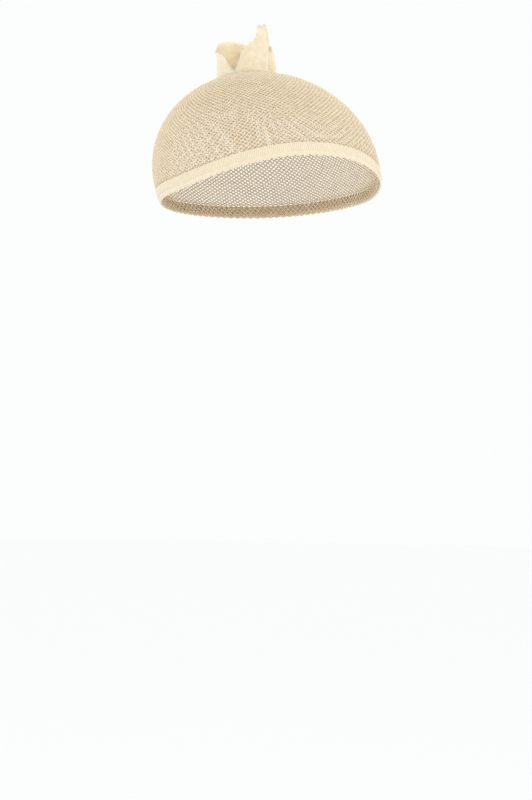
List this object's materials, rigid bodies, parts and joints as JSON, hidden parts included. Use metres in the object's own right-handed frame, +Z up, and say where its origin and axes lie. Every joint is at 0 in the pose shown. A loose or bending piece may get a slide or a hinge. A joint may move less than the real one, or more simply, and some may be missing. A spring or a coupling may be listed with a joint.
{
  "type": "wig cap",
  "caption": "Stretch net wig cap as worn: domed fishnet crown gathered into a tied, ruffled topknot, with a scalloped elastic band round the head opening.",
  "frame": {"origin": "middle of the head opening, at the level of the greatest girth, where the cap sits on a head", "axes": "+Z up along the wearer's height, -Y to the front, +X to the wearer's left"},
  "size_m": [0.1524, 0.1983, 0.1344],
  "materials": {
    "net_yarn": "open knotted net of soft matt nude yarn",
    "band_elastic": "soft cream knitted elastic, finely ribbed above a groove, smooth and scalloped below",
    "tie_thread": "wound cream elastic thread",
    "net_tail": "relaxed dense net, matt cream, slightly see-through, frayed at the cut edge"
  },
  "bodies": {
    "root": {"crown_net": "net_yarn", "elastic_band": "band_elastic", "crown_tie": "tie_thread", "topknot": "net_tail"}
  },
  "joints": []
}
